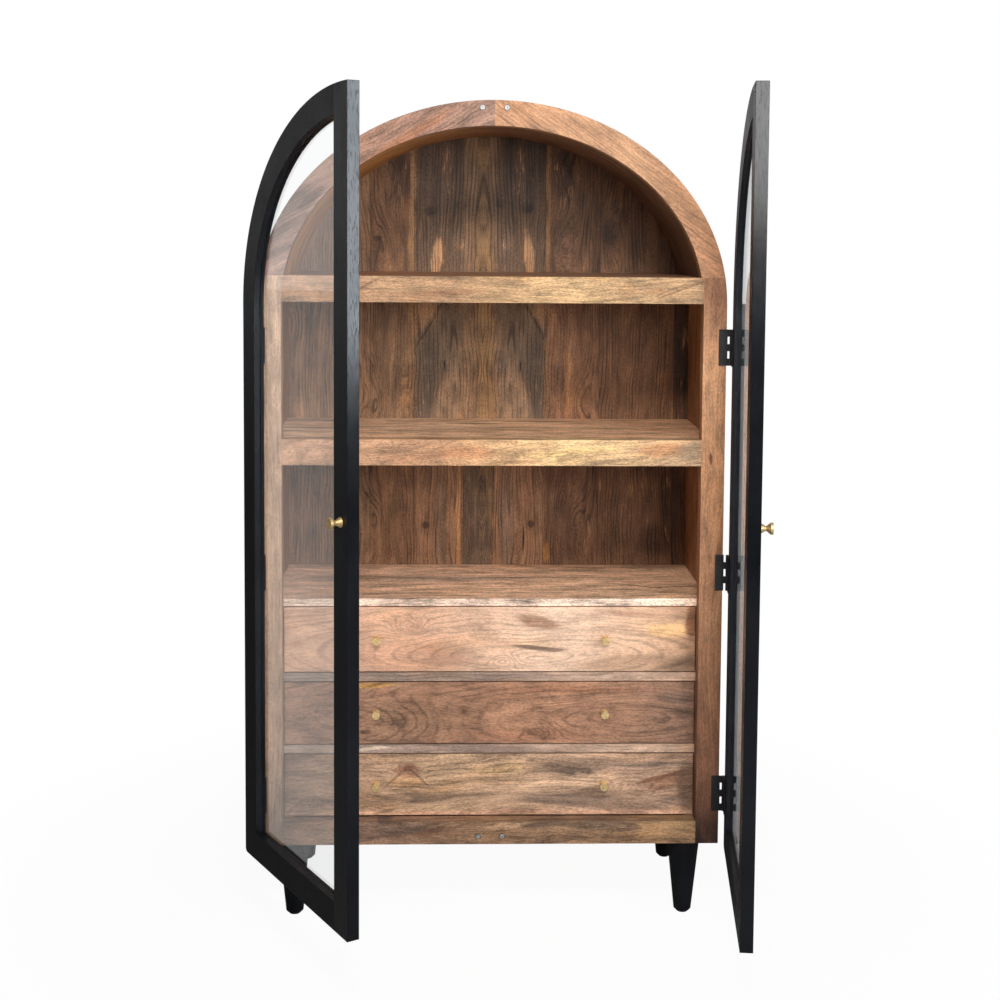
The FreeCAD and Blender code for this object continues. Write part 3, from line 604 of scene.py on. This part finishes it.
    assign(
        board(
            "deck_wood", "top",
            tones=[(-0.48, (190, 152, 126)), (0.0, (188, 146, 116)), (0.48, (190, 148, 116))],
            seed=12.8, pith=(0.2, 0.1, 0.06), edge=(-0.159, (200, 166, 144)), tint=(1.48, 1.6, 1.68), smoke=0.8,
            contrast=1.6,
            marks=[
                (-0.171, 0.03, 0.26, 0.022, 0.0, (140, 116, 98), 0.7),
                (0.33, -0.040, 0.05, 0.0025, -0.42, (78, 50, 36), 0.9),
                (0.42, -0.050, 0.05, 0.0025, 0.17, (78, 50, 36), 0.9),
                (-0.05, -0.07, 0.12, 0.006, 0.05, (140, 108, 84), 0.6),
                (0.10, 0.10, 0.20, 0.015, 0.0, (150, 116, 92), 0.5),
            ],
        ),
        "drawer_deck",
    )
    assign(
        board(
            "drawer_1_wood", "X",
            tones=[
                (-0.45, (206, 166, 138)), (-0.15, (218, 175, 145)), (0.15, (238, 203, 174)), (0.45, (202, 158, 122)),
            ],
            seed=13.5, pith=(0.62, 0.1, 0.16), contrast=0.8, tint=(0.90, 0.86, 0.86), ring_share=0.26, smoke=0.4,
            gold=0.3,
            swirls=[(0.028, 0.570, 0.028, 0.016, 4.0), (-0.183, 0.647, 0.035, 0.02, 5.0)],
            marks=[
                (-0.187, 0.578, 0.11, 0.030, 0.0, (206, 158, 128), 0.7),
                (0.105, 0.600, 0.050, 0.0045, -0.12, (130, 106, 90), 0.9),
                (0.101, 0.657, 0.042, 0.010, -0.15, (164, 124, 98), 0.85),
                (0.391, 0.634, 0.040, 0.014, 0.0, (240, 192, 132), 0.7),
                (0.441, 0.652, 0.012, 0.034, 0.0, (128, 82, 52), 0.85),
                (0.34, 0.565, 0.120, 0.016, 0.05, (172, 138, 110), 0.8),
                (0.420, 0.560, 0.040, 0.016, 0.0, (136, 106, 82), 0.8),
                (0.306, 0.675, 0.050, 0.005, -0.05, (196, 150, 122), 0.7),
                (-0.183, 0.645, 0.030, 0.014, 0.1, (190, 148, 120), 0.5),
            ],
        ),
        "drawer_1_front",
    )
    assign(
        board(
            "drawer_2_wood", "X",
            tones=[(-0.45, (150, 116, 96)), (-0.1, (164, 123, 98)), (0.15, (176, 130, 102)), (0.45, (142, 108, 88))],
            seed=14.2, pith=(0.47, 0.3, 0.18), contrast=1.2, tint=(0.87, 0.84, 0.81), ring_gap=0.010, ring_share=0.34,
            gold=0.25,
            swirls=[(-0.274, 0.436, 0.17, 0.050, 5.0), (0.105, 0.411, 0.04, 0.02, 4.0)],
            marks=[
                (-0.256, 0.513, 0.034, 0.005, 0.0, (204, 152, 84), 0.9),
                (-0.274, 0.406, 0.010, 0.004, 0.0, (70, 44, 34), 0.9),
                (0.411, 0.487, 0.035, 0.012, 0.0, (118, 92, 78), 0.8),
                (0.432, 0.453, 0.022, 0.012, 0.0, (116, 90, 76), 0.7),
                (0.073, 0.403, 0.10, 0.012, 0.0, (150, 104, 80), 0.6),
                (0.192, 0.505, 0.14, 0.006, 0.0, (152, 104, 78), 0.6),
                (-0.20, 0.436, 0.10, 0.030, 0.0, (138, 106, 84), 0.5),
                (0.22, 0.44, 0.05, 0.02, 0.0, (150, 112, 90), 0.4),
            ],
        ),
        "drawer_2_front",
    )
    assign(
        board(
            "drawer_3_wood", "X",
            tones=[
                (-0.45, (122, 98, 82)), (-0.26, (176, 142, 114)), (-0.1, (186, 152, 120)), (0.2, (184, 148, 120)),
                (0.45, (172, 136, 110)),
            ],
            seed=15.9, pith=(0.26, 0.1, 0.14), tint=(1.0, 0.98, 0.98), ring_gap=0.009, smoke=0.85, gold=0.5,
            contrast=1.25,
            swirls=[(0.307, 0.283, 0.05, 0.020, 5.0), (-0.180, 0.322, 0.03, 0.016, 3.0)],
            marks=[
                (-0.180, 0.331, 0.011, 0.007, 0.0, (96, 54, 42), 1.0),
                (-0.180, 0.325, 0.024, 0.013, 0.0, (140, 96, 74), 0.7),
                (-0.184, 0.300, 0.032, 0.0085, 0.0, (190, 146, 104), 0.9),
                (-0.205, 0.311, 0.026, 0.0020, 0.72, (100, 70, 52), 0.6),
                (-0.155, 0.311, 0.028, 0.0020, -0.70, (100, 70, 52), 0.6),
                (-0.180, 0.2895, 0.045, 0.0020, 0.0, (106, 76, 56), 0.6),
                (0.022, 0.329, 0.055, 0.010, 0.0, (198, 160, 114), 0.6),
                (0.188, 0.323, 0.036, 0.009, 0.0, (72, 60, 54), 1.0),
                (0.19, 0.336, 0.08, 0.014, 0.1, (128, 104, 86), 0.7),
                (0.17, 0.297, 0.085, 0.016, 0.12, (200, 164, 132), 0.55),
                (0.39, 0.310, 0.060, 0.005, 0.26, (116, 74, 52), 0.9),
                (0.400, 0.298, 0.05, 0.012, 0.26, (136, 92, 66), 0.7),
                (0.167, 0.256, 0.090, 0.013, 0.0, (118, 96, 80), 0.9),
                (0.05, 0.226, 0.32, 0.0055, 0.0, (206, 160, 132), 0.8),
                (0.435, 0.290, 0.020, 0.045, 0.0, (104, 78, 60), 0.8),
                (-0.156, 0.262, 0.13, 0.010, 0.0, (142, 116, 94), 0.7),
                (0.36, 0.338, 0.07, 0.006, 0.0, (116, 98, 84), 0.7),
                (0.33, 0.250, 0.10, 0.010, 0.05, (138, 112, 94), 0.6),
            ],
        ),
        "drawer_3_front",
    )
    assign(
        board(
            "rail_wood", "X",
            tones=[(-0.48, (150, 130, 118)), (0.0, (166, 140, 124)), (0.2, (188, 156, 134)), (0.48, (196, 160, 136))],
            seed=16.3, pith=(0.45, 0.0, 0.05), tint=(0.90, 0.89, 0.88), smoke=0.6,
            marks=[
                (-0.10, 0.533, 0.20, 0.006, 0.0, (138, 118, 106), 0.7),
                (-0.26, 0.371, 0.03, 0.003, 0.12, (212, 186, 164), 0.8),
            ],
        ),
        "drawer_rail_upper", "drawer_rail_lower",
    )
    assign(
        board(
            "bottom_rail_wood", "X",
            tones=[(-0.45, (104, 84, 70)), (-0.25, (146, 117, 98)), (0.0, (144, 114, 90)), (0.45, (122, 97, 74))],
            seed=17.7, pith=(0.2, 0.2, 0.1), tint=(1.03, 0.95, 0.86), smoke=0.8, contrast=1.4,
            marks=[
                (-0.230, 0.219, 0.014, 0.004, 0.0, (66, 56, 60), 0.9),
                (-0.224, 0.205, 0.08, 0.016, 0.0, (112, 92, 82), 0.6),
                (0.119, 0.209, 0.045, 0.006, 0.05, (92, 76, 66), 0.8),
                (0.252, 0.206, 0.070, 0.009, 0.0, (90, 74, 62), 0.8),
                (0.014, 0.204, 0.055, 0.006, 0.15, (176, 144, 116), 0.7),
                (0.392, 0.198, 0.06, 0.020, 0.0, (158, 126, 92), 0.6),
                (-0.13, 0.198, 0.03, 0.010, 0.3, (120, 84, 66), 0.6),
            ],
        ),
        "bottom_rail",
    )
    assign(
        board(
            "inner_wood", "top",
            tones=[(-0.48, (190, 150, 118)), (0.48, (186, 146, 112))],
            seed=18.4, pith=(0.3, 0.0, 0.04),
        ),
        "bottom_panel", "drawer_1_box", "drawer_1_bottom", "drawer_2_box", "drawer_2_bottom", "drawer_3_box",
        "drawer_3_bottom",
    )
    assign(
        board(
            "runner_wood", "Y",
            tones=[(-0.16, (180, 140, 110)), (0.19, (176, 136, 106))],
            seed=19.2, pith=(0.3, 0.0, 0.04),
        ),
        *[f"drawer_{number}_runner_{side}" for number in (1, 2, 3) for side in SIDES],
    )


def dress_fittings():
    """Dresses doors, legs and metal parts, and gives back the hinges' material for their screws."""
    upright = black_paint("black_upright", "Z", seed=0.4)
    level = black_paint("black_level", "X", seed=1.9)
    latch_lumps = {"left": 0.15, "right": 0.3}
    for side, sign in SIDES.items():
        pin_x = sign * PIN_X
        along_x, along_y = -sign * math.cos(DOOR_ANGLES[side]), -sign * math.sin(DOOR_ANGLES[side])
        stile = nodes[f"{side}_door_meeting_stile"].data.vertices
        reach = max((v.co.x - pin_x) * along_x + (v.co.y - PIN_Y) * along_y for v in stile)
        latch = (pin_x, along_x, along_y, reach)
        edge = black_paint(f"black_latch_{side}", "Z", seed=0.4, lumps=latch_lumps[side], latch=latch)
        assign(edge, f"{side}_door_meeting_stile")
        assign(upright, f"{side}_door_hinge_stile", f"{side}_door_glazing_bead")
        assign(level, f"{side}_door_arch_rail", f"{side}_door_bottom_rail")
    assign(black_paint("black_leg", "Z", seed=3.3, roughness=0.5), "legs_front", "legs_rear")
    assign(brass("knob_brass"), "left_door_knob", "right_door_knob", *[f"drawer_{n}_knobs" for n in (1, 2, 3)])
    steel = metal("hinge_black", (0.010, 0.010, 0.011), (0.035, 0.034, 0.036), (0.38, 0.55), 0.4)
    assign(steel, "hinges_left_frame", "hinges_right_frame", "left_door_hinge_leaves", "right_door_hinge_leaves")
    assign(magnet_steel("magnet_steel"), "catch_magnets")
    bare = metal("strike_steel", (0.10, 0.10, 0.10), (0.22, 0.22, 0.22), (0.35, 0.5), 0.9)
    assign(bare, "left_door_strikes", "right_door_strikes")
    assign(clear_glass("clear_glass"), "left_door_glass", "right_door_glass")
    for side in SIDES:
        nodes[f"{side}_door_glass"].visible_shadow = False
    return steel


# Screws of the hinge leaves
def screw_heads(name, body, places, outward, material):
    """Screw heads in one piece: low domes with a cross slot, at places on a leaf, toward the outward direction."""
    mesh = bmesh.new()
    turn = outward.to_track_quat("Z", "Y").to_matrix().to_4x4()
    rings, spokes, radius, dome, twist = 7, 32, 0.0031, 0.00022, 0.7
    slot_half_width, slot_reach, slot_depth = 0.00035, 0.0019, 0.0003
    for number, place in enumerate(places):
        stand = Matrix.Translation(place) @ turn @ Matrix.Rotation(twist * number, 4, "Z")
        rows = []
        for ring in range(rings + 1):
            reach = radius * ring / rings
            row = []
            for spoke in range(spokes):
                angle = 2.0 * math.pi * spoke / spokes
                x, y = reach * math.cos(angle), reach * math.sin(angle)
                slot = min(abs(x), abs(y)) < slot_half_width and max(abs(x), abs(y)) < slot_reach
                height = dome * (1.0 - (reach / radius) ** 2) - (slot_depth if slot else 0.0)
                row.append(mesh.verts.new(stand @ Vector((x, y, height))))
            rows.append(row)
        for inner, outer in zip(rows, rows[1:]):
            for spoke in range(spokes):
                after = (spoke + 1) % spokes
                mesh.faces.new((inner[spoke], outer[spoke], outer[after], inner[after]))
    bmesh.ops.remove_doubles(mesh, verts=mesh.verts, dist=1e-6)
    bmesh.ops.recalc_face_normals(mesh, faces=mesh.faces)
    data = bpy.data.meshes.new(name)
    mesh.to_mesh(data)
    mesh.free()
    piece = bpy.data.objects.new(name, data)
    bpy.context.scene.collection.objects.link(piece)
    data.materials.append(material)
    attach(piece, body)


def hinge_screws(material):
    """Three screws in each leaf of the six hinges, the middle one nearer to the pin on the posts and the doors."""
    lowest, spacing, offset, stagger = 0.283, 0.489, 0.029, 0.004
    post_x, post_y = 0.4895, -0.1970
    door_x, door_y = 0.0200, -0.00025
    heights = [lowest + spacing * step + rise for step in range(3) for rise in (-offset, 0.0, offset)]
    shifts = [0.0, stagger, 0.0] * 3
    for side, sign in SIDES.items():
        on_post = [Vector((sign * (post_x + shift), post_y, z)) for shift, z in zip(shifts, heights)]
        screw_heads(f"hinge_screws_{side}_frame", "cabinet", on_post, Vector((0.0, -1.0, 0.0)), material)
        turn = Matrix.Rotation(DOOR_ANGLES[side], 4, "Z")
        pin = Vector((sign * PIN_X, PIN_Y, 0.0))
        on_door = [
            pin + turn @ Vector((-sign * (door_x - shift), door_y, z)) for shift, z in zip(shifts, heights)
        ]
        screw_heads(f"hinge_screws_{side}_door", f"{side}_door", on_door, turn @ Vector((0.0, 1.0, 0.0)), material)


# Surroundings
def floor():
    """A plain floor, white to the camera far from the cabinet, with the cabinet's soft shadow near it."""
    mesh = bpy.data.meshes.new("floor")
    reach = 30.0
    corners = [(-reach, -reach, 0.0), (reach, -reach, 0.0), (reach, reach, 0.0), (-reach, reach, 0.0)]
    mesh.from_pydata(corners, [], [(0, 1, 2, 3)])
    ground = bpy.data.objects.new("floor", mesh)
    bpy.context.scene.collection.objects.link(ground)
    g = Graph("floor_white")
    g.put(g.shader, "Roughness", 0.9)
    glow = g.add("ShaderNodeEmission", Color=(1.0, 1.0, 1.0, 1.0), Strength=1.0)
    paths = g.add("ShaderNodeLightPath")
    g.put(g.shader, "Base Color", g.mix(paths.outputs["Is Glossy Ray"], (0.84, 0.84, 0.84), (0.2, 0.2, 0.2)))
    seen = g.math("MAXIMUM", paths.outputs["Is Camera Ray"], paths.outputs["Is Transmission Ray"])
    near, far, near_share = 0.5, 1.6, 0.945
    blend = g.add("ShaderNodeMixShader")
    g.put(blend, 0, g.times(seen, g.spread(g.length(g.x, g.y), near, far, near_share, 1.0)))
    g.tree.links.new(g.shader.outputs[0], blend.inputs[1])
    g.tree.links.new(glow.outputs[0], blend.inputs[2])
    g.tree.links.new(blend.outputs[0], g.out.inputs["Surface"])
    mesh.materials.append(g.material)


def background(sweep, room, ambient):
    """White to the camera and through glass; reflections see a dark room, a sweep behind and a window to the left."""
    world = bpy.data.worlds.new("studio")
    bpy.context.scene.world = world
    world.use_nodes = True
    tree = world.node_tree
    tree.nodes.clear()

    def shade(colour, strength):
        node = tree.nodes.new("ShaderNodeBackground")
        node.inputs["Color"].default_value = (*colour, 1.0)
        node.inputs["Strength"].default_value = strength
        return node.outputs[0]

    def blend(share, first, second):
        node = tree.nodes.new("ShaderNodeMixShader")
        for socket, link in zip(node.inputs, (share, first, second)):
            tree.links.new(link, socket)
        return node.outputs[0]

    def either(first, second):
        node = tree.nodes.new("ShaderNodeMath")
        node.operation = "MAXIMUM"
        tree.links.new(first, node.inputs[0])
        tree.links.new(second, node.inputs[1])
        return node.outputs[0]

    paths = tree.nodes.new("ShaderNodeLightPath")
    coordinates = tree.nodes.new("ShaderNodeTexCoord")

    def bright(way, low, high):
        """One where a reflection leaves along a level direction, down to nothing outside its cone."""
        dot = tree.nodes.new("ShaderNodeVectorMath")
        dot.operation = "DOT_PRODUCT"
        dot.inputs[1].default_value = way
        tree.links.new(coordinates.outputs["Generated"], dot.inputs[0])
        cone = tree.nodes.new("ShaderNodeMapRange")
        cone.interpolation_type = "SMOOTHSTEP"
        cone.inputs["From Min"].default_value = low
        cone.inputs["From Max"].default_value = high
        tree.links.new(dot.outputs["Value"], cone.inputs["Value"])
        return cone.outputs[0]

    behind = bright((0.0, 1.0, 0.0), 0.75, 0.92)
    window = bright((-0.814, 0.581, 0.0), 0.90, 0.97)
    mirrored = blend(either(behind, window), shade((1.0, 1.0, 1.0), room), shade((1.0, 1.0, 1.0), sweep))
    light = blend(paths.outputs["Is Glossy Ray"], shade((1.0, 0.99, 0.975), ambient), mirrored)
    out = tree.nodes.new("ShaderNodeOutputWorld")
    seen = either(paths.outputs["Is Camera Ray"], paths.outputs["Is Transmission Ray"])
    tree.links.new(blend(seen, light, shade((1.0, 1.0, 1.0), 1.0)), out.inputs["Surface"])


def softbox(name, place, target, size, power, colour):
    """A rectangular lamp that looks from its place at a target."""
    data = bpy.data.lights.new(name, "AREA")
    data.shape = "RECTANGLE"
    data.size, data.size_y = size
    data.energy = power
    data.color = colour
    lamp = bpy.data.objects.new(name, data)
    lamp.location = place
    lamp.rotation_euler = (Vector(target) - Vector(place)).to_track_quat("-Z", "Y").to_euler()
    bpy.context.scene.collection.objects.link(lamp)


def lights():
    """A high key lamp, a broad lamp in front and a cool narrow one to the right."""
    softbox(
        "key", place=(-0.05, -3.0, 3.3), target=(0.0, -0.2, 0.9), size=(0.6, 0.5), power=66.0, colour=(1.0, 0.99, 0.97),
    )
    softbox(
        "front", place=(0.65, -3.9, 2.15), target=(0.0, -0.2, 1.0), size=(1.2, 1.2), power=49.0,
        colour=(1.0, 0.99, 0.98),
    )
    softbox(
        "side", place=(2.3, -2.35, 1.7), target=(0.0, -0.2, 1.1), size=(0.45, 1.5), power=34.0,
        colour=(0.86, 0.94, 1.0),
    )


def camera():
    """The camera as fitted to the photograph."""
    yaw, pitch, roll = 0.0286, 0.0711, -0.0071
    stand = (-0.079, -3.4455, 1.5032)
    forward = Vector((math.sin(yaw) * math.cos(pitch), math.cos(yaw) * math.cos(pitch), -math.sin(pitch)))
    level = Vector((math.cos(yaw), -math.sin(yaw), 0.0))
    down = forward.cross(level)
    right = math.cos(roll) * level + math.sin(roll) * down
    below = -math.sin(roll) * level + math.cos(roll) * down
    data = bpy.data.cameras.new("camera")
    data.sensor_width = 36.0
    data.lens = 54.97
    data.shift_y = -0.1585
    eye = bpy.data.objects.new("camera", data)
    columns = (right, -below, -forward)
    turn = Matrix([[axis[row] for axis in columns] for row in range(3)]).to_4x4()
    eye.matrix_world = Matrix.Translation(stand) @ turn
    bpy.context.scene.collection.objects.link(eye)
    bpy.context.scene.camera = eye


dress_wood()
hinge_steel = dress_fittings()
hinge_screws(hinge_steel)
floor()
background(sweep=0.7, room=0.08, ambient=0.2)
lights()
camera()
bpy.context.scene.view_settings.view_transform = "Standard"
